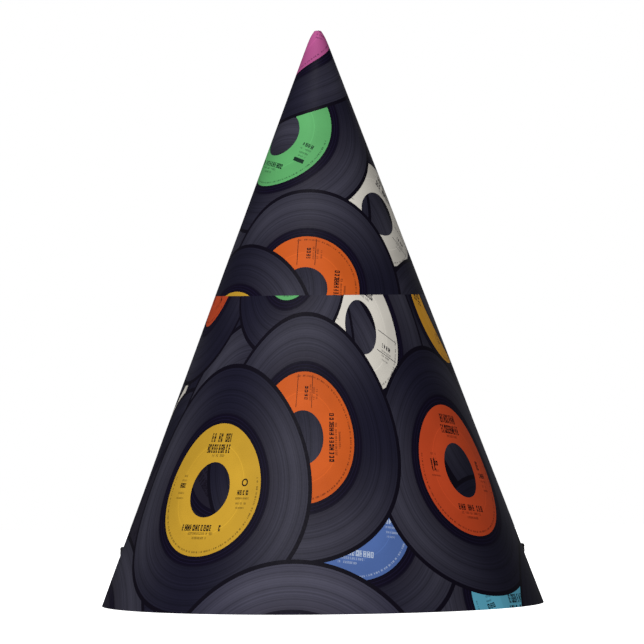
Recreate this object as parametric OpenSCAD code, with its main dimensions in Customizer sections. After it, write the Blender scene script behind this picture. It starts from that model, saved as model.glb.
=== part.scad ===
// Cone party hat: a printed card blank rolled into a cone, lapped and taped down the back,
// with a chin elastic knotted through two punched holes. It stands on its rim.
// Origin: centre of the rim, on the table. +Z runs up the cone, -Y is the front, +Y the taped seam.

/* [Cone] */
// Outside diameter of the rim
rim_d = 127; // [110:1:155]
// Height from the rim to the open tip
hat_h = 165; // [135:1:200]
// Outside diameter of the small open tip
tip_d = 3; // [2.8:0.1:6]
// Thickness of the card
card_t = 0.35; // [0.25:0.05:0.45]

/* [Seam] */
// Angle of the cone over which the card's two straight edges overlap
lap_a = 20; // [15:2.5:30]
// Angle over which the underneath edge steps in below the top one
step_a = 7.5; // [5:2.5:15]
// Width of the double-sided tape in the lap
tape_w = 5; // [4:0.5:7]
// Thickness of the tape
tape_t = 0.1; // [0.05:0.05:0.15]
// Height of the tape's lower end above the table
tape_z = 4; // [2:1:10]
// Card left bare on each side of the tape at its top end
tape_edge = 1; // [0.5:0.5:2]

/* [Chin elastic] */
// Diameter of the elastic cord
cord_d = 1; // [0.8:0.1:1.2]
// Diameter of the punched holes
hole_d = 2.2; // [2:0.1:3]
// Height of the holes above the table
hole_z = 15; // [12:1:20]
// Angle by which each hole sits behind the side of the hat
hole_back_a = 14; // [5:1:20]
// Width of a knot across the cord
knot_w = 3.6; // [3.2:0.1:4.4]
// Length of a knot along the cord
knot_l = 2.2; // [1.8:0.1:3]
// Gap between a knot and the card
knot_gap = 0.1; // [0.05:0.05:0.3]

/* [Hidden] */

turn_a = 360;
round_sides = 180;
step_stairs = 6;
tape_columns = 20;
// Angle of the lap's top edge, at the back of the hat
seam_a = 90;

rim_r = rim_d / 2;
tip_r = tip_d / 2;
slope = (rim_r - tip_r) / hat_h;
wall_a = atan(slope);
// Thicknesses measured level, across the sloping wall
card_level = card_t / cos(wall_a);
tape_level = tape_t / cos(wall_a);
lap_level = card_level + tape_level;

// Radius of the card's outside face at height z
function wall_r(z) = rim_r - slope * z;

// How far the card has stepped in at share t of the step
function stepped_in(t) = lap_level * t * t * (3 - 2 * t);
stair_a = step_a / step_stairs;
// How far each stair of the step runs on into its neighbours, which makes them one solid
stair_lap_a = 0.2;

// The tape stops where the lap, which narrows upwards, just covers it and its bare edges
lap_rad = lap_a * PI / 180;
tape_top_r = (tape_w + 2 * tape_edge) / lap_rad;
tape_top_z = (rim_r - tape_top_r) / slope;

hole_r = hole_d / 2;
hole_punch_l = 10;
hole_wall_r = wall_r(hole_z);
hole_x = hole_wall_r * cos(hole_back_a);
hole_y = hole_wall_r * sin(hole_back_a);

// Wall's outward direction at the right hole, and how far the knot's centre is carried out along X
wall_out_x = cos(wall_a) * cos(hole_back_a);
wall_out_across = sqrt(1 - wall_out_x * wall_out_x);
knot_reach = norm([knot_l / 2 * wall_out_x, knot_w / 2 * wall_out_across]);
knot_x = hole_x + (knot_reach + knot_gap) / wall_out_x;
// Flat on each end of a knot, where the cord comes out of it
knot_flat_a = asin(min(0.9, 1.2 * cord_d / knot_w));
knot_face = knot_l / 2 * cos(knot_flat_a);
knot_steps = 8;

// The elastic runs straight in through the hole as far as this past the wall
cord_lead = 2.5;
// Right half of its route from there: down to the table and round inside the rim to the front
cord_half = [
    [51, 14, 14.8], [48.5, 13, 13.8], [47, 10.5, 11.5], [46.5, 6.5, 8.5],
    [47, 1, 5.5], [48, -5.5, 3], [49.5, -12, 1.3], [50.5, -19, 0.7], [50, -27, 0.6],
    [46.5, -35.5, 0.6], [40, -43.5, 0.6], [31, -50.5, 0.6], [19.5, -55.5, 0.6], [6.5, -58, 0.6]
];
cord_sides = 8;
cord_ring_gap = 2.9;

function mirrored(points) = [for (i = [len(points) - 1 : -1 : 0]) [-points[i].x, points[i].y, points[i].z]];
cord_start = [[knot_x - knot_face, hole_y, hole_z], [hole_x - cord_lead, hole_y, hole_z]];
cord_route = concat(cord_start, cord_half, mirrored(cord_half), mirrored(cord_start));

// A smooth curve through points: the point at share t of the way from points[i] to points[i + 1]
function curve_point(points, i, t) =
    let (last = len(points) - 1,
         b = points[i],
         c = points[min(i + 1, last)],
         a = i > 0 ? points[i - 1] : 2 * b - c,
         d = i + 2 <= last ? points[i + 2] : 2 * c - b)
    0.5 * (2 * b + (c - a) * t + (2 * a - 5 * b + 4 * c - d) * t * t
           + (3 * b - a - 3 * c + d) * t * t * t);
function curve(points, gap) = concat(
    [for (i = [0 : len(points) - 2])
        let (n = max(1, round(norm(points[i + 1] - points[i]) / gap)))
        for (k = [0 : n - 1]) curve_point(points, i, k / n)],
    [points[len(points) - 1]]);

function unit(v) = v / norm(v);
function heading(line, i) = unit(line[min(i + 1, len(line) - 1)] - line[max(i - 1, 0)]);
// A ring of the tube: its sides are set out from the level direction across the line
function ring(line, i, r) =
    let (along = heading(line, i),
         across = unit(cross([0, 0, 1], along)),
         up = cross(along, across))
    [for (k = [0 : cord_sides - 1])
        let (a = (k + 0.5) * turn_a / cord_sides)
        line[i] + r * (cos(a) * across + sin(a) * up)];

module tube(line, r) {
    rings = len(line);
    points = [for (i = [0 : rings - 1]) each ring(line, i, r)];
    walls = [for (i = [0 : rings - 2], k = [0 : cord_sides - 1])
        let (a = i * cord_sides + k,
             b = i * cord_sides + (k + 1) % cord_sides)
        each [[a, a + cord_sides, b + cord_sides], [a, b + cord_sides, b]]];
    first = [for (k = [0 : cord_sides - 1]) k];
    last = [for (k = [cord_sides - 1 : -1 : 0]) (rings - 1) * cord_sides + k];
    polyhedron(points, concat(walls, [first, last]), convexity = 6);
}

// Section of a sheet that follows the cone from height low to high. Its outer face lies inset
// inside the cone's outside face, and it is thick, both measured level.
module sheet_section(inset, thick, low, high) {
    polygon([[wall_r(low) - inset, low], [wall_r(high) - inset, high],
        [wall_r(high) - inset - thick, high], [wall_r(low) - inset - thick, low]]);
}

// The same section carried round the cone from angle start, counted from the top edge of the lap
module rolled(start, turn, inset, thick, low, high) {
    rotate([0, 0, seam_a + start])
        rotate_extrude(angle = turn, $fn = round_sides)
            sheet_section(inset, thick, low, high);
}

// The same again as a row of narrow flat-faced columns, for a sheet as thin as the tape. The edges
// between columns lie on the curve outside, and the columns' middles lie on it inside, so that the
// sheet stays clear of the curved ones that it is between.
module rolled_columns(start, turn, inset, thick, low, high, columns) {
    lift = 1 / cos(turn / columns / 2);
    function corner(i, r, z) =
        let (a = seam_a + start + turn * i / columns)
        [r * cos(a), r * sin(a), z];
    points = [for (i = [0 : columns])
        each [corner(i, wall_r(low) - inset, low), corner(i, wall_r(high) - inset, high),
              corner(i, lift * (wall_r(high) - inset - thick), high),
              corner(i, lift * (wall_r(low) - inset - thick), low)]];
    walls = [for (i = [0 : columns - 1], k = [0 : 3])
        let (p = 4 * i + k,
             q = 4 * i + (k + 1) % 4)
        each [[p, q, q + 4], [p, q + 4, p + 4]]];
    last = 4 * columns;
    polyhedron(points, concat(walls, [[3, 2, 1, 0], [last, last + 1, last + 2, last + 3]]), convexity = 4);
}

// Things at the right hole, and the same mirrored for the left one
module at_hole(side) {
    mirror([side < 0 ? 1 : 0, 0, 0])
        translate([hole_x, hole_y, hole_z])
            rotate([0, 0, hole_back_a])
                rotate([0, 90 - wall_a, 0])
                    children();
}

module card_cone() {
    color("#2f2d38")
        difference() {
            union() {
                rolled(0, turn_a - step_a, 0, card_level, 0, hat_h);
                for (i = [0 : step_stairs - 1])
                    rolled(turn_a - step_a + i * stair_a - stair_lap_a, stair_a + 2 * stair_lap_a,
                        stepped_in((i + 0.5) / step_stairs), card_level, 0, hat_h);
                rolled(turn_a, lap_a, lap_level, card_level, 0, hat_h);
            }
            for (side = [-1, 1])
                at_hole(side)
                    cylinder(h = hole_punch_l, r = hole_r, center = true, $fn = 48);
        }
}

module seam_tape() {
    color("#d8cfa8")
        intersection() {
            rolled_columns(0, lap_a, card_level, tape_level, tape_z, tape_top_z, tape_columns);
            rotate([0, 0, seam_a + lap_a / 2])
                translate([0, -tape_w / 2, 0])
                    cube([rim_d, tape_w, hat_h]);
        }
}

module elastic_cord() {
    color("#17151c")
        tube(curve(cord_route, cord_ring_gap), cord_d / 2);
}

module knot(side) {
    outline = [for (i = [0 : knot_steps])
        let (a = knot_flat_a + (180 - 2 * knot_flat_a) * i / knot_steps)
        [knot_w / 2 * sin(a), knot_l / 2 * cos(a)]];
    color("#17151c")
        translate([side * knot_x, hole_y, hole_z])
            rotate([0, 90, 0])
                rotate_extrude($fn = 48)
                    polygon(concat([[0, knot_face]], outline, [[0, -knot_face]]));
}

card_cone();
seam_tape();
elastic_cord();
knot(-1);  // knot_left
knot(1);  // knot_right
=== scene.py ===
# Cone party hat of printed card, with its chin elastic lying slack inside the rim.
# It stands on its rim: the origin is the rim's centre, +Z is up, -Y is the front and the seam is at +Y.
import math

import bmesh
import bpy
from mathutils import Matrix, Vector


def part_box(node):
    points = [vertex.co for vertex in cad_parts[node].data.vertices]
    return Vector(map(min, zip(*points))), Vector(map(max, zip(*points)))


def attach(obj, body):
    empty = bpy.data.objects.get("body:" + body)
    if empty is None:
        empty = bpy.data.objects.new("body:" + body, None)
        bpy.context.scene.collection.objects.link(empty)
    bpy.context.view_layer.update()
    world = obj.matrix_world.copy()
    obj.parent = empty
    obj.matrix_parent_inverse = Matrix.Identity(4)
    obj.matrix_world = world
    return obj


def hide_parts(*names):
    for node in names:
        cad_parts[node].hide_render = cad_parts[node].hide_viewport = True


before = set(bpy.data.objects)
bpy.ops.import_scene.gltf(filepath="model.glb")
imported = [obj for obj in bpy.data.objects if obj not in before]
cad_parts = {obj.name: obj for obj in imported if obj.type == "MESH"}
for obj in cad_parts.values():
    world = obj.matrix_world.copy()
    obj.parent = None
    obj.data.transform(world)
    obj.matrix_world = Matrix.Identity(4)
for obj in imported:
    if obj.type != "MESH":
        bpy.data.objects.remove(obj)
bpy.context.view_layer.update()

MM = 0.001

# ---- Sizes, from the frame and from the card's own make-up ----
card_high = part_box("card_cone")[1]
RIM_R = card_high.x
HAT_H = card_high.z
TIP_R = max(Vector(v.co.xy).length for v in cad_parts["card_cone"].data.vertices
            if v.co.z > HAT_H - 0.01 * MM)
SLOPE = (RIM_R - TIP_R) / HAT_H
WALL_A = math.atan(SLOPE)
APEX_Z = RIM_R / SLOPE

CARD_T = 0.35 * MM
TAPE_T = 0.1 * MM
LAP_INSET = (CARD_T + TAPE_T) / math.cos(WALL_A)
SEAM_A = math.radians(90)
TURN = 360
LAP_A = 20
STEP_A = 7.5

CORD_R = 0.5 * MM
# The elastic runs straight in through each hole as far as this past the wall
CORD_LEAD = 2.5 * MM
HOLE_R = 1.1 * MM
HOLE_Z = 15 * MM
HOLE_BACK_A = math.radians(14)

# The print is in two bands that don't line up: their join runs round the hat at this height
JOIN_Z = 88.8 * MM
# A record's radius in the low band: as an angle round the hat in degrees, and up it in mm
LOW_RECORD_A = 35.6
LOW_RECORD_UP = 35.34
# The front orange record's centre in the low band: degrees left of the front, and mm above the table
LOW_CENTRE_A = 7
LOW_CENTRE_UP = 48.8
# A record's radius in the high band, in mm, and the front orange record's centre there: mm left of the
# front and down from the cone's apex on the flat blank. The band is turned by the last angle
HIGH_RECORD = 30.4
HIGH_CENTRE_LEFT = 4.5
HIGH_CENTRE_DOWN = 83.6
HIGH_TURN = 0.036


def wall_r(z):
    return RIM_R - SLOPE * z


def smooth_share(t):
    t = min(max(t, 0), 1)
    return t * t * (3 - 2 * t)


# ---- Camera ----
# A long lens, level with the hat's middle and aimed a little below it, turned slightly about its own line
CAMERA_AT = (0, -1.846, 0.0888)
CAMERA_AIM = (0.0005, 0, 0.0811)
CAMERA_ROLL = -0.0094
LENS_MM = 358.6
SENSOR_MM = 36


def make_camera():
    data = bpy.data.cameras.new("camera")
    data.lens = LENS_MM
    data.sensor_width = SENSOR_MM
    camera = bpy.data.objects.new("camera", data)
    bpy.context.scene.collection.objects.link(camera)
    camera.location = CAMERA_AT
    aim = Vector(CAMERA_AIM) - camera.location
    roll = Matrix.Rotation(CAMERA_ROLL, 4, "Z")
    camera.rotation_euler = (aim.to_track_quat("-Z", "Y").to_matrix().to_4x4() @ roll).to_euler()
    bpy.context.scene.camera = camera


make_camera()


# ---- Materials ----
def ink(code, share=1.0):
    """A colour written as sRGB hex, made linear, times share."""
    parts = [int(code[i:i + 2], 16) / 255 for i in (1, 3, 5)]
    linear = [c / 12.92 if c <= 0.04045 else ((c + 0.055) / 1.055) ** 2.4 for c in parts]
    return (*(c * share for c in linear), 1)


def add(tree, kind, inputs=(), **settings):
    """Adds a shader node. inputs are its live sockets in order, or by name; nodes and sockets are linked."""
    node = tree.nodes.new("ShaderNode" + kind)
    for name, value in settings.items():
        setattr(node, name, value)
    if isinstance(inputs, dict):
        pairs = [(node.inputs[name], value) for name, value in inputs.items()]
    else:
        pairs = list(zip([s for s in node.inputs if s.enabled], inputs))
    for socket, value in pairs:
        if isinstance(value, bpy.types.Node):
            value = next(s for s in value.outputs if s.enabled)
        if isinstance(value, bpy.types.NodeSocket):
            tree.links.new(value, socket)
        elif value is not None:
            socket.default_value = value
    return node


def new_material(name):
    material = bpy.data.materials.new(name)
    material.use_nodes = True
    tree = material.node_tree
    tree.nodes.clear()
    return material, tree


def finish_material(tree, **sockets):
    shader = add(tree, "BsdfPrincipled", {name.replace("_", " "): v for name, v in sockets.items()})
    add(tree, "OutputMaterial", (shader,))


# Radii on a printed record, as shares of the record's own radius
HOLE = 0.218
LABEL = 0.525
DEAD_WAX = 0.602
GROOVES = 0.966
# The print repeats after this many record radii, which is half way round the hat
REPEAT = TURN / 2 / LOW_RECORD_A
# Distance from any record's centre that a spot with no record on it is given
NO_RECORD = 9

# Label colours, and the ink of their marks
LABELS = {
    "orange": ("#c95a21", "#2c1512"), "yellow": ("#c59a30", "#2b2016"),
    "red": ("#c94b27", "#25100f"), "white": ("#d6d1c7", "#23202a"),
    "green": ("#5da867", "#142a22"), "gold": ("#d99c30", "#2b2016"),
    "rust": ("#be4827", "#25100f"), "blue": ("#4f6aa5", "#a9b6cd"),
    "grey": ("#7d7c83", "#23202a"), "pink": ("#b0548a", "#2d1230"),
    "teal": ("#62b2cc", "#12262e"), "plum": ("#211e2b", "#15111c"),
}
LABEL_NAMES = list(LABELS)

# Records from the bottom of the heap to the top: across and up in record radii from the front orange
# one, the turn of the label in degrees, and its colour
RECORDS = (
    (1.25, 2.35, 60, "blue"), (-1.45, 2.5, -20, "yellow"), (2.45, 2.2, 130, "red"), (2.4, 0.2, 0, "green"),
    (-2.36, 0.5, 20, "white"), (2.395, 1.098, 75, "gold"), (1.93, -1.72, 0, "teal"),
    (1.915, -1.32, 10, "teal"), (-1.55, -0.60, 33, "plum"), (0.442, -0.60, -8, "blue"),
    (0.1, 0.4, 0, "plum"), (-0.35, 0.80, 60, "plum"), (0.756, 0.874, -25, "white"),
    (-0.70, -0.05, 140, "plum"),
    (-1.934, 1.41, -50, "rust"), (-0.312, 1.62, -27, "green"), (-0.246, 2.745, -12, "pink"),
    (1.707, -0.281, -6, "red"), (-2.186, -1.79, 50, "plum"), (0, 0, 88, "orange"),
    (-0.89, -0.41, 0, "yellow"), (-0.026, -1.951, 90, "grey"),
)

# How far the bright wedges of some records lean from their labels' level, in degrees
LEANS = {"orange": 8, "red": 22, "green": -25, "rust": 90, "white": 60}

# Rows of marks on a label in its own frame: across, up, half width and half height in record radii
BOLD_ROWS = (
    (0.0, 0.412, 0.13, 0.034), (0.0, 0.325, 0.145, 0.034), (-0.345, 0.03, 0.045, 0.019),
    (0.36, -0.02, 0.055, 0.019), (0.0, -0.3, 0.21, 0.024),
)
SMALL_ROWS = (
    (0.0, 0.27, 0.085, 0.01), (-0.34, 0.105, 0.035, 0.008), (-0.35, 0.07, 0.035, 0.007),
    (-0.35, -0.03, 0.04, 0.008), (-0.35, -0.07, 0.05, 0.006), (0.36, -0.065, 0.065, 0.008),
    (0.355, -0.105, 0.05, 0.008), (0.35, -0.14, 0.04, 0.007), (0.0, -0.345, 0.13, 0.01),
    (0.0, -0.38, 0.075, 0.009),
)
RULES = ((0.37, 0.085, 0.13, 0.003), (0.37, -0.085, 0.13, 0.003))
# Marks that only one colour of label has
BIG_FIGURES = ((-0.36, 0.02, 0.03, 0.045), (0.36, 0.06, 0.06, 0.035))
SOLID_BAR = ((0.34, -0.185, 0.055, 0.02),)
BADGE_AT = (0.365, 0.06, 0)

# Plain rings over the grooves: inner and outer radius, colour. They are the outline, the run-out's
# edge, the run-out and two lines in it
RINGS = (
    (GROOVES, NO_RECORD + 0.5, "#0e0b16"), (DEAD_WAX, 0.612, "#151320"), (LABEL, DEAD_WAX, "#0f0b1b"),
    (0.553, 0.557, "#1b1730"), (0.578, 0.583, "#19152b"),
)


def place_on_record(tree):
    """Where a spot of the print lies on the topmost record there: across, up, and the label's number."""
    spot = add(tree, "UVMap", uv_map="print")
    found = None
    for across, up, turn, label in RECORDS:
        number = LABEL_NAMES.index(label)
        away = add(tree, "VectorMath", (spot, (across, up, -number)), operation="SUBTRACT")
        wrap = (REPEAT / 2, 50, 50), (-REPEAT / 2, -50, -50)
        away = add(tree, "VectorMath", (away, *wrap), operation="WRAP")
        far = add(tree, "VectorMath", (away, (0, 0, number)), operation="DISTANCE")
        on = add(tree, "Math", (far, (1 + HOLE) / 2, (1 - HOLE) / 2), operation="COMPARE")
        back = {"Vector": away, "Angle": -math.radians(turn)}
        turned = add(tree, "VectorRotate", back, rotation_type="Z_AXIS")
        found = add(tree, "Mix", (on, found or (NO_RECORD, 0, 0), turned), data_type="VECTOR")
    return found


def box_marks(tree, across, up, boxes):
    """1 inside any of the boxes."""
    inside = 0
    for x, y, half_w, half_h in boxes:
        in_width = add(tree, "Math", (across, x, half_w), operation="COMPARE")
        in_height = add(tree, "Math", (up, y, half_h), operation="COMPARE")
        inside = add(tree, "Math", (in_width, in_height, inside), operation="MULTIPLY_ADD")
    return inside


def type_rows(tree, across, up, number, rows, letter):
    """Rows of upright strokes with small gaps in them, which look like lines of type without being any."""
    row = level = 0
    for i, (x, y, half_w, half_h) in enumerate(rows):
        in_width = add(tree, "Math", (across, x, half_w), operation="COMPARE")
        in_height = add(tree, "Math", (up, y, half_h), operation="COMPARE")
        inside = add(tree, "Math", (in_width, in_height), operation="MULTIPLY")
        row = add(tree, "Math", (inside, i + 1, row), operation="MULTIPLY_ADD")
        height = add(tree, "Math", (up, 1 / half_h, -y / half_h), operation="MULTIPLY_ADD")
        level = add(tree, "Math", (inside, height, level), operation="MULTIPLY_ADD")
    place = add(tree, "Math", (across, letter), operation="DIVIDE")
    cell = add(tree, "Math", (place,), operation="FLOOR")
    share = add(tree, "Math", (place,), operation="FRACT")
    seed = add(tree, "CombineXYZ", (cell, row, number))
    chance = add(tree, "SeparateXYZ", (add(tree, "TexWhiteNoise", {"Vector": seed}).outputs["Color"],))
    width = add(tree, "MapRange", (chance.outputs[2], 0, 1, 0.5, 0.92))
    stroke = add(tree, "Math", (share, width), operation="LESS_THAN")
    filled = add(tree, "Math", (chance.outputs[0], 0.1), operation="GREATER_THAN")
    written = add(tree, "Math", (row, 0.5), operation="GREATER_THAN")
    # Each stroke has a gap in its middle at a height of its own, above and below the row's own middle
    off_middle = add(tree, "Math", (level,), operation="ABSOLUTE")
    gap_height = add(tree, "Math", (chance.outputs[1], 0.75), operation="MULTIPLY")
    gap = add(tree, "Math", (off_middle, gap_height, 0.22), operation="COMPARE")
    gap_width = add(tree, "Math", (share, 0.42, 0.14), operation="COMPARE")
    gap = add(tree, "Math", (gap, gap_width), operation="MULTIPLY")
    marks = add(tree, "Math", (stroke, filled), operation="MULTIPLY")
    marks = add(tree, "Math", (marks, written), operation="MULTIPLY")
    return add(tree, "Math", (marks, gap), operation="SUBTRACT", use_clamp=True)


def only_on(tree, number, marks, *labels):
    """marks, kept only on labels of these colours."""
    kept = 0
    for label in labels:
        this = add(tree, "Math", (number, LABEL_NAMES.index(label), 0.2), operation="COMPARE")
        kept = add(tree, "Math", (marks, this, kept), operation="MULTIPLY_ADD")
    return kept


def grooves(tree, far, around, number):
    """Fine rings, with two bright wedges along each record's own level line, as on real ones."""
    ramp = add(tree, "ValToRGB", (far,))
    stops = ramp.color_ramp.elements
    stops[0].position, stops[0].color = 0.6, ink("#2c2a35")
    stops[1].position, stops[1].color = 0.97, ink("#302f3b")
    stops.new(0.74).color = ink("#33323e")
    stops.new(0.86).color = ink("#383743")
    lean = 0
    for label, angle in LEANS.items():
        lean = add(tree, "Math", (lean, only_on(tree, number, math.radians(angle), label)), operation="ADD")
    level = add(tree, "Math", (around, lean), operation="SUBTRACT")
    level = add(tree, "Math", (level,), operation="COSINE")
    level = add(tree, "Math", (level, level), operation="MULTIPLY")
    wedge = add(tree, "MapRange", (level, 0, 0.85, 0, 1))
    colour = add(tree, "Mix", (wedge, ink("#191827"), ramp), data_type="RGBA")
    fine = add(tree, "TexNoise", {"W": far, "Scale": 70, "Detail": 3}, noise_dimensions="1D")
    wide = add(tree, "TexNoise", {"W": far, "Scale": 16, "Detail": 1}, noise_dimensions="1D")
    ringed = add(tree, "Math", (fine, 1.1, 0.3), operation="MULTIPLY_ADD")
    ringed = add(tree, "Math", (wide, 0.3, ringed), operation="MULTIPLY_ADD")
    # The grey-labelled record is printed paler than the rest
    paler = add(tree, "Math", (only_on(tree, number, 0.5, "grey"), 1), operation="ADD")
    ringed = add(tree, "Math", (ringed, paler), operation="MULTIPLY")
    colour = add(tree, "Mix", (1, colour, ringed), data_type="RGBA", blend_type="MULTIPLY")
    for inner, outer, code in RINGS:
        on = add(tree, "Math", (far, (inner + outer) / 2, (outer - inner) / 2), operation="COMPARE")
        colour = add(tree, "Mix", (on, colour, ink(code)), data_type="RGBA")
    return colour


def label_colours(tree, number):
    """The paper of the label, and the ink of its marks, by the label's number."""
    share = add(tree, "Math", (number, 0.5), operation="ADD")
    share = add(tree, "Math", (share, len(LABELS)), operation="DIVIDE")
    ramps = []
    for which in (0, 1):
        ramp = add(tree, "ValToRGB", (share,))
        ramp.color_ramp.interpolation = "CONSTANT"
        stops = ramp.color_ramp.elements
        stops[1].position, stops[1].color = 1 / len(LABELS), ink(LABELS[LABEL_NAMES[1]][which])
        stops[0].position, stops[0].color = 0, ink(LABELS[LABEL_NAMES[0]][which])
        for i, name in list(enumerate(LABEL_NAMES))[2:]:
            stops.new(i / len(LABELS)).color = ink(LABELS[name][which])
        ramps.append(ramp)
    return ramps


def label_marks(tree, place, far, around, number):
    """How strongly each spot of a label is inked: rows of type, rules and the marks of single colours."""
    across, up, _ = add(tree, "SeparateXYZ", (place,)).outputs
    marks = type_rows(tree, across, up, number, BOLD_ROWS, 0.03)
    small = type_rows(tree, across, up, number, SMALL_ROWS, 0.016)
    # Fine type round the label's edge, on its lower half
    edge = add(tree, "Math", (far, 0.492, 0.007), operation="COMPARE")
    dashes = add(tree, "TexNoise", {"W": around, "Scale": 32, "Detail": 2}, noise_dimensions="1D")
    dashes = add(tree, "Math", (dashes, 0.5), operation="GREATER_THAN")
    lower = add(tree, "Math", (up, 0.1), operation="LESS_THAN")
    edge = add(tree, "Math", (edge, dashes), operation="MULTIPLY")
    edge = add(tree, "Math", (edge, lower), operation="MULTIPLY")
    faint = add(tree, "Math", (small, edge), operation="MAXIMUM")
    faint = add(tree, "Math", (faint, 0.6), operation="MULTIPLY")
    marks = add(tree, "Math", (marks, faint), operation="MAXIMUM")
    rules = only_on(tree, number, box_marks(tree, across, up, RULES), "orange", "white", "gold")
    bar = only_on(tree, number, box_marks(tree, across, up, SOLID_BAR), "green")
    figures = only_on(tree, number, type_rows(tree, across, up, number, BIG_FIGURES, 0.04), "red")
    badge = add(tree, "VectorMath", (place, BADGE_AT), operation="DISTANCE")
    badge = add(tree, "Math", (badge, 0.025, 0.006), operation="COMPARE")
    for extra in (rules, bar, figures, only_on(tree, number, badge, "yellow")):
        marks = add(tree, "Math", (marks, extra), operation="MAXIMUM")
    return marks


def record_print(tree):
    """The colour of the print: grooves, rings, label and marks of the record on top."""
    place = place_on_record(tree)
    across, up, number = add(tree, "SeparateXYZ", (place,)).outputs
    flat = add(tree, "VectorMath", (place, (1, 1, 0)), operation="MULTIPLY")
    far = add(tree, "VectorMath", (flat,), operation="LENGTH")
    around = add(tree, "Math", (up, across), operation="ARCTAN2")
    paper, mark_ink = label_colours(tree, number)
    # The label is paler inside a fine line round its hole
    shade = add(tree, "MapRange", (far, 0.32, 0.4, 1.0, 0.9))
    ring = add(tree, "Math", (far, 0.362, 0.003), operation="COMPARE")
    shade = add(tree, "Math", (ring, 0.18, shade), operation="MULTIPLY_ADD")
    paper = add(tree, "Mix", (1, paper, shade), data_type="RGBA", blend_type="MULTIPLY")
    marks = label_marks(tree, flat, far, around, number)
    paper = add(tree, "Mix", (marks, paper, mark_ink), data_type="RGBA")
    on_label = add(tree, "Math", (far, LABEL), operation="LESS_THAN")
    return add(tree, "Mix", (on_label, grooves(tree, far, around, number), paper), data_type="RGBA")


def printed_card():
    """Offset-printed paperboard with a satin varnish: flat inks, a soft broad sheen, faint fibres."""
    material, tree = new_material("printed_paperboard")
    colour = record_print(tree)
    # Paperboard fibres are about 0.1 mm apart. They are drawn 0.7 mm apart, so that they show
    spot = add(tree, "TexCoord").outputs["Object"]
    fibres = add(tree, "TexNoise", {"Vector": spot, "Scale": 1 / (0.7 * MM), "Detail": 4})
    bump = add(tree, "Bump", {"Height": fibres, "Strength": 0.12, "Distance": 0.05 * MM})
    mottle = add(tree, "TexNoise", {"Vector": spot, "Scale": 1 / (9 * MM), "Detail": 3})
    mottle = add(tree, "MapRange", (mottle, 0.3, 0.7, 0.95, 1.05))
    colour = add(tree, "Mix", (1, colour, mottle), data_type="RGBA", blend_type="MULTIPLY")
    rough = add(tree, "MapRange", (fibres, 0.3, 0.7, 0.5, 0.58))
    finish_material(tree, Base_Color=colour, Roughness=rough, Normal=bump, IOR=1.45, Specular_IOR_Level=0.05)
    return material


def bare_card():
    """Uncoated white paperboard: matt, faintly warm, with its fibres showing."""
    material, tree = new_material("uncoated_paperboard")
    spot = add(tree, "TexCoord").outputs["Object"]
    fibres = add(tree, "TexNoise", {"Vector": spot, "Scale": 1 / (0.5 * MM), "Detail": 5})
    ramp = add(tree, "ValToRGB", (fibres,))
    stops = ramp.color_ramp.elements
    stops[0].position, stops[0].color = 0.3, ink("#cfccc4")
    stops[1].position, stops[1].color = 0.7, ink("#e6e3dc")
    bump = add(tree, "Bump", {"Height": fibres, "Strength": 0.3, "Distance": 0.06 * MM})
    finish_material(tree, Base_Color=ramp, Roughness=0.85, Normal=bump, IOR=1.5)
    return material


def braided_elastic():
    """Polyester yarn braided round a rubber core: black, matt, with a crossing diagonal rib."""
    material, tree = new_material("braided_polyester_elastic")
    spot = add(tree, "SeparateXYZ", (add(tree, "UVMap", uv_map="rope"),))
    around, along = spot.outputs[0], spot.outputs[1]
    turns = add(tree, "Math", (around, 2 * math.pi * 4), operation="MULTIPLY")
    # A rib of the braid every 0.6 mm along the cord
    ribs = add(tree, "Math", (along, 2 * math.pi / (0.6 * MM)), operation="MULTIPLY")
    crossed = []
    for operation in ("ADD", "SUBTRACT"):
        lean = add(tree, "Math", (turns, ribs), operation=operation)
        crossed.append(add(tree, "Math", (lean,), operation="SINE"))
    yarn = add(tree, "Math", tuple(crossed), operation="MAXIMUM")
    # The black yarn is painted darker in the braid's hollows than on its ribs: painted shade
    shade = add(tree, "MapRange", (yarn, -1, 1, 0, 1))
    colour = add(tree, "Mix", (shade, ink("#08070a"), ink("#1c1a20")), data_type="RGBA")
    bump = add(tree, "Bump", {"Height": yarn, "Strength": 0.6, "Distance": 0.06 * MM})
    finish_material(tree, Base_Color=colour, Roughness=0.8, Normal=bump, Sheen_Weight=0.05)
    return material


def sticky_tape():
    """Double-sided tissue tape: a thin yellowish glue film with loose fibres in it."""
    material, tree = new_material("tissue_tape")
    spot = add(tree, "TexCoord").outputs["Object"]
    fibres = add(tree, "TexNoise", {"Vector": spot, "Scale": 1 / (1.2 * MM), "Detail": 5, "Distortion": 1})
    ramp = add(tree, "ValToRGB", (fibres,))
    stops = ramp.color_ramp.elements
    stops[0].position, stops[0].color = 0.35, ink("#cfc49a")
    stops[1].position, stops[1].color = 0.65, ink("#e2dabd")
    finish_material(tree, Base_Color=ramp, Roughness=0.4, IOR=1.47)
    return material


def floor_paper():
    """White seamless background paper: matt, and lit evenly except under the hat."""
    material, tree = new_material("background_paper")
    spot = add(tree, "TexCoord").outputs["Object"]
    from_middle = add(tree, "VectorMath", (spot,), operation="LENGTH")
    clear = add(tree, "Math", (from_middle, RIM_R - 1.5 * MM), operation="GREATER_THAN")
    glow = add(tree, "Math", (clear, 0.8), operation="MULTIPLY")
    finish_material(tree, Base_Color=ink("#f6f6f6"), Roughness=0.9, Emission_Color=ink("#ffffff"),
                    Emission_Strength=glow)
    return material


PRINTED = printed_card()
BARE = bare_card()
ELASTIC = braided_elastic()


# ---- Elastic and its knots ----
def new_piece(name, mesh, *materials):
    """An object at the origin from a finished bmesh."""
    data = bpy.data.meshes.new(name)
    mesh.to_mesh(data)
    mesh.free()
    for material in materials:
        data.materials.append(material)
    piece = bpy.data.objects.new(name, data)
    bpy.context.scene.collection.objects.link(piece)
    return piece


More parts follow.
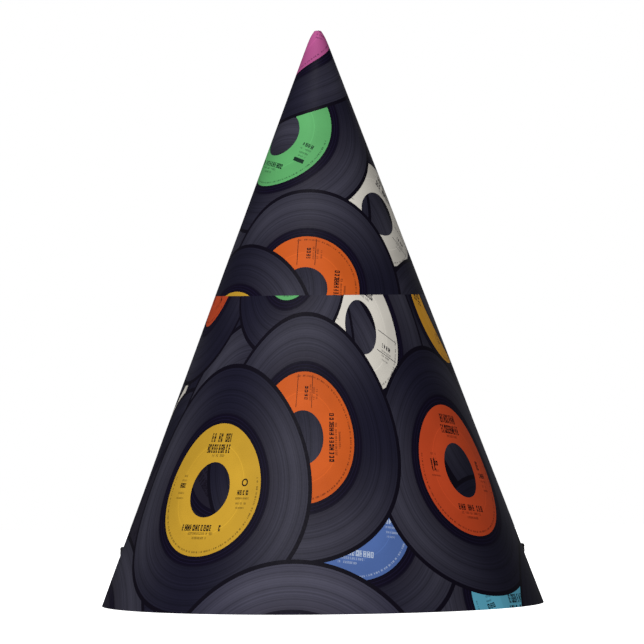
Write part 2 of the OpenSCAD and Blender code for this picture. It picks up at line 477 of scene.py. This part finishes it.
def smooth_line(points, gap):
    """Points about gap apart along a smooth curve through points."""
    line = []
    for i, start in enumerate(points[:-1]):
        end = points[i + 1]
        before = points[i - 1] if i else 2 * start - end
        after = points[i + 2] if i + 2 < len(points) else 2 * end - start
        steps = max(1, round((end - start).length / gap))
        for k in range(steps):
            t = k / steps
            line.append(0.5 * (2 * start + (end - before) * t
                               + (2 * before - 5 * start + 4 * end - after) * t * t
                               + (3 * start - before - 3 * end + after) * t ** 3))
    return line + [points[-1]]


def rope(name, line, radius, sides, *materials):
    """A tube along line, closed at both ends, with its UVs round it and along it in metres."""
    mesh = bmesh.new()
    spots = mesh.loops.layers.uv.new("rope")
    last = len(line) - 1
    headings = [(line[min(i + 1, last)] - line[max(i - 1, 0)]).normalized() for i in range(len(line))]
    start = Matrix.Translation(line[0]) @ headings[0].to_track_quat("Z", "Y").to_matrix().to_4x4()
    ring = bmesh.ops.create_circle(mesh, segments=sides, radius=radius, cap_ends=True, matrix=start)
    ring = ring["verts"]
    order = {v: i for i, v in enumerate(ring)}
    edges = list(mesh.edges)
    lengths = [0.0]
    place = {v: (order[v] / sides, 0.0) for v in ring}
    for i in range(1, len(line)):
        made = bmesh.ops.extrude_edge_only(mesh, edges=edges)["geom"]
        verts = [g for g in made if isinstance(g, bmesh.types.BMVert)]
        made_edges = [g for g in made if isinstance(g, bmesh.types.BMEdge)]
        lengths.append(lengths[-1] + (line[i] - line[i - 1]).length)
        for v in verts:
            twin = next(w for e in v.link_edges for w in e.verts if w in place and w is not v)
            place[v] = (place[twin][0], lengths[-1])
        turn = headings[i - 1].rotation_difference(headings[i]).to_matrix().to_4x4()
        move = Matrix.Translation(line[i]) @ turn @ Matrix.Translation(-line[i - 1])
        bmesh.ops.transform(mesh, matrix=move, verts=verts)
        edges = [e for e in made_edges if all(v in verts for v in e.verts)]
    bmesh.ops.edgeloop_fill(mesh, edges=edges)
    bmesh.ops.recalc_face_normals(mesh, faces=mesh.faces)
    for face in mesh.faces:
        face.smooth = len(face.verts) == 4
        rounds = [place[loop.vert][0] for loop in face.loops]
        wraps = max(rounds) - min(rounds) > 0.5
        for loop in face.loops:
            around, along = place[loop.vert]
            loop[spots].uv = (around + 1 if wraps and around < 0.5 else around, along)
    return new_piece(name, mesh, *materials)


def elastic_route():
    """The elastic's line, in metres: in at the right hole, down to the table and round the front."""
    knot_low, knot_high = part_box("knot_right")
    knot_x = (knot_low.x + knot_high.x) / 2
    hole_y = wall_r(HOLE_Z) * math.sin(HOLE_BACK_A)
    lead_x = wall_r(HOLE_Z) * math.cos(HOLE_BACK_A) - CORD_LEAD
    half = [
        (51, 14, 14.8), (48.5, 13, 13.8), (47, 10.5, 11.5), (46.5, 6.5, 8.5),
        (47, 1, 5.5), (48, -5.5, 3), (49.5, -12, 1.3), (50.5, -19, 0.7), (50, -27, 0.6),
        (46.5, -35.5, 0.6), (40, -43.5, 0.6), (31, -50.5, 0.6), (19.5, -55.5, 0.6), (6.5, -58, 0.6),
    ]
    right = [Vector((knot_x, hole_y, HOLE_Z)), Vector((lead_x, hole_y, HOLE_Z))]
    right += [Vector(p) * MM for p in half]
    left = [Vector((-p.x, p.y, p.z)) for p in reversed(right)]
    return smooth_line(right + left, 1.5 * MM)


KNOT_STEPS = 48


def overhand_knot(side):
    """A tight overhand knot outside the card. The slack elastic in it is thicker, and fills it."""
    low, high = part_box("knot_right")
    middle = (low + high) / 2
    across = (high.z - low.z) / 2
    deep = (high.x - low.x) / 2
    thick = 1.4 * CORD_R
    reach = (across - thick) / 3
    # It stands this much further out than its node, to clear the wall at every angle of the elastic
    out = 0.1 * MM
    line = []
    for i in range(KNOT_STEPS + 1):
        t = math.radians(20 + 320 * i / KNOT_STEPS)
        line.append(Vector((
            middle.x + out + (deep - thick - out) * math.sin(3 * t),
            middle.y + reach * (math.sin(t) + 2 * math.sin(2 * t)),
            middle.z + reach * (math.cos(t) - 2 * math.cos(2 * t)),
        )))
    if side < 0:
        line = [Vector((-p.x, p.y, p.z)) for p in line]
    return rope("overhand_knot_" + ("right" if side > 0 else "left"), line, thick, 12, ELASTIC)


def make_elastic():
    line = elastic_route()
    cord = rope("chin_elastic", line, CORD_R, 12, ELASTIC)
    knots = [overhand_knot(side) for side in (-1, 1)]
    for piece, node in ((cord, "elastic_cord"), (knots[0], "knot_left"), (knots[1], "knot_right")):
        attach(piece, "chin_strap")
        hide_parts(node)


make_elastic()


# ---- Card ----
COLUMNS = 300
LOW_ROWS = 44
HIGH_ROWS = 46


def row_height(row):
    """Heights of the rows of the card's mesh: one lies on the print's join, and they close up to the tip."""
    if row <= LOW_ROWS:
        return JOIN_Z * row / LOW_ROWS
    share = (row - LOW_ROWS) / HIGH_ROWS
    return JOIN_Z + (HAT_H - JOIN_Z) * (1 - (1 - share) ** 1.5)


def unevenness(angle, z):
    """How far the rolled card strays from a true cone: a slack oval at the rim, pinched in at the tip."""
    low = 1 - z / HAT_H
    oval = 0.12 * MM * low * math.sin(2 * angle + 0.7) + 0.05 * MM * math.sin(5 * angle + 25 * low)
    oval *= wall_r(z) / RIM_R
    from_tip = HAT_H - z
    pinch = 0.5 * MM * math.exp(-(from_tip / (1.6 * MM)) ** 1.3)
    dent = 0.05 * MM * math.exp(-from_tip / (6 * MM)) * math.sin(3 * angle + 1)
    return oval - pinch + dent


def card_point(roll, z):
    angle = SEAM_A + math.radians(roll)
    inset = LAP_INSET * smooth_share((roll - TURN + STEP_A) / STEP_A)
    r = wall_r(z) - inset + unevenness(angle, z)
    # The cut point of the blank is a little ragged
    ragged = 0.15 * MM * math.exp((z - HAT_H) / MM)
    ragged *= 1 + math.sin(3 * angle + 2) * math.cos(5 * angle)
    return Vector((r * math.cos(angle), r * math.sin(angle), z - ragged))


def print_spot(roll, z, high):
    """Across and up on the print, in record radii. The high band lies flat, the low one runs round."""
    front = roll - TURN / 2
    if not high:
        return (front + LOW_CENTRE_A) / LOW_RECORD_A, (z / MM - LOW_CENTRE_UP) / LOW_RECORD_UP
    down = (APEX_Z - z) / math.cos(WALL_A) / MM
    fan = math.radians(front) * math.sin(WALL_A)
    spot = Vector((down * math.sin(fan) + HIGH_CENTRE_LEFT, HIGH_CENTRE_DOWN - down * math.cos(fan)))
    return (Matrix.Rotation(HIGH_TURN, 2) @ spot) / HIGH_RECORD


def rolled_card():
    """The card blank as one sheet, rolled up, with the print's place on it as a UV map."""
    mesh = bmesh.new()
    spots = mesh.loops.layers.uv.new("print")
    bmesh.ops.create_grid(mesh, x_segments=COLUMNS, y_segments=LOW_ROWS + HIGH_ROWS, size=1)
    rolls = {}
    for v in mesh.verts:
        roll = (v.co.x + 1) / 2 * (TURN + LAP_A)
        row = round((v.co.y + 1) / 2 * (LOW_ROWS + HIGH_ROWS))
        rolls[v] = roll, row_height(row)
    for face in mesh.faces:
        face.smooth = True
        high = sum(rolls[v][1] for v in face.verts) / 4 > JOIN_Z
        for loop in face.loops:
            loop[spots].uv = print_spot(*rolls[loop.vert], high)
    for v in mesh.verts:
        v.co = card_point(*rolls[v])
    return mesh


def hole_punch(side):
    """The round bar that punches a hole, square to the wall."""
    mesh = bmesh.new()
    r = wall_r(HOLE_Z)
    turn = math.pi / 2 - WALL_A
    place = (Matrix.Translation((r * math.cos(HOLE_BACK_A), r * math.sin(HOLE_BACK_A), HOLE_Z))
             @ Matrix.Rotation(HOLE_BACK_A, 4, "Z") @ Matrix.Rotation(turn, 4, "Y"))
    if side < 0:
        place = Matrix.Scale(-1, 4, (1, 0, 0)) @ place
    bmesh.ops.create_cone(mesh, segments=32, radius1=HOLE_R, radius2=HOLE_R, depth=10 * MM, cap_ends=True,
                          matrix=place)
    bmesh.ops.recalc_face_normals(mesh, faces=mesh.faces)
    for face in mesh.faces:
        face.material_index = 1
    return new_piece("hole_punch", mesh, PRINTED, BARE)


def make_card():
    card = new_piece("printed_card_cone", rolled_card(), PRINTED, BARE)
    wall = card.modifiers.new("thickness", "SOLIDIFY")
    wall.thickness = CARD_T
    wall.offset = -1
    wall.use_even_offset = True
    wall.material_offset = 1
    wall.material_offset_rim = 1
    punches = [hole_punch(side) for side in (-1, 1)]
    for punch in punches:
        cut = card.modifiers.new("hole", "BOOLEAN")
        cut.object = punch
        cut.operation = "DIFFERENCE"
        cut.solver = "EXACT"
    bpy.context.view_layer.update()
    done = card.evaluated_get(bpy.context.evaluated_depsgraph_get())
    mesh = bpy.data.meshes.new_from_object(done)
    card.modifiers.clear()
    card.data = mesh
    for punch in punches:
        bpy.data.objects.remove(punch)
    # The card's thickness leaves its lower edge square to the wall, and this lays it flat on the table
    for v in mesh.vertices:
        v.co.z = max(v.co.z, 0)
    mesh.set_sharp_from_angle(angle=math.radians(35))
    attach(card, "hat")
    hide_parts("card_cone")


make_card()
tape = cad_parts["seam_tape"]
tape.data.materials.clear()
tape.data.materials.append(sticky_tape())


# ---- Floor and light ----
def make_floor():
    mesh = bmesh.new()
    bmesh.ops.create_grid(mesh, x_segments=1, y_segments=1, size=0.6)
    floor = new_piece("floor", mesh, floor_paper())
    floor.visible_diffuse = False
    floor.visible_glossy = False


def make_world():
    """White all round to look at, and much dimmer as a light."""
    world = bpy.data.worlds.new("world")
    bpy.context.scene.world = world
    world.use_nodes = True
    tree = world.node_tree
    tree.nodes.clear()
    seen = add(tree, "LightPath").outputs["Is Camera Ray"]
    strength = add(tree, "MapRange", (seen, 0, 1, 0.13, 1.0))
    back = add(tree, "Background", ((1, 1, 1, 1), strength))
    add(tree, "OutputWorld", (back,))


def add_light(name, place, aim, size, watts):
    data = bpy.data.lights.new(name, "AREA")
    data.shape = "DISK"
    data.size = size
    data.energy = watts
    light = bpy.data.objects.new(name, data)
    light.location = place
    light.rotation_euler = (Vector(aim) - Vector(place)).to_track_quat("-Z", "Y").to_euler()
    bpy.context.scene.collection.objects.link(light)


make_floor()
make_world()
add_light("key", (-0.56, -1.71, 1.34), (0, 0, 0.08), 0.7, 48)
add_light("back", (0.4, 1.75, 1.3), (0, 0, 0.08), 0.7, 26)
bpy.context.scene.view_settings.view_transform = "Standard"
